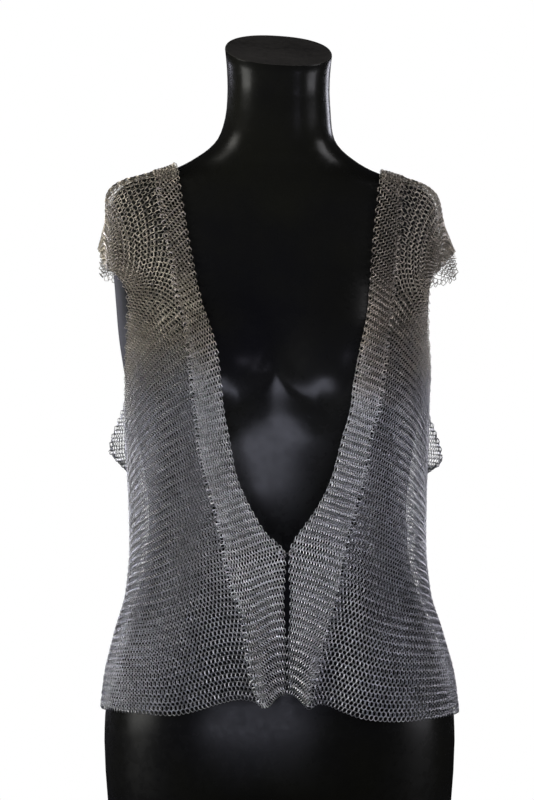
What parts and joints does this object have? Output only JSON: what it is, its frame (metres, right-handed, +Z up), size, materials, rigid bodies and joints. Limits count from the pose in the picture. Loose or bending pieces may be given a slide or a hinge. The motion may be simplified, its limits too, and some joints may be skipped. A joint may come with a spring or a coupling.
{
  "type": "chainmail vest on a dress form",
  "caption": "Sleeveless mail vest with a deep open neck and short cap shoulders, hooked in front, worn by a headless, armless dress form that stands on its flat base.",
  "frame": {"origin": "centre of the dress form's flat base, on the surface it stands on", "axes": "+Z up along the body; the front of the vest faces -Y; +X is the wearer's left"},
  "size_m": [0.364, 0.2544, 0.8212],
  "materials": {
    "form_gloss": "black gelcoat, satin gloss",
    "mail_body": "dark grey steel wire rings",
    "mail_band": "dark grey steel wire rings",
    "mail_shoulder": "dark grey steel wire rings, warmer tone",
    "closure_steel": "bright steel wire"
  },
  "bodies": {
    "root": {"dress_form": "form_gloss", "front_right": "mail_body", "front_left": "mail_body", "neck_band_right": "mail_band", "neck_band_left": "mail_band", "shoulder_right": "mail_shoulder", "shoulder_left": "mail_shoulder", "back_panel": "mail_body", "closure_ring_right": "closure_steel", "closure_ring_left": "closure_steel", "closure_hook": "closure_steel"}
  },
  "joints": []
}
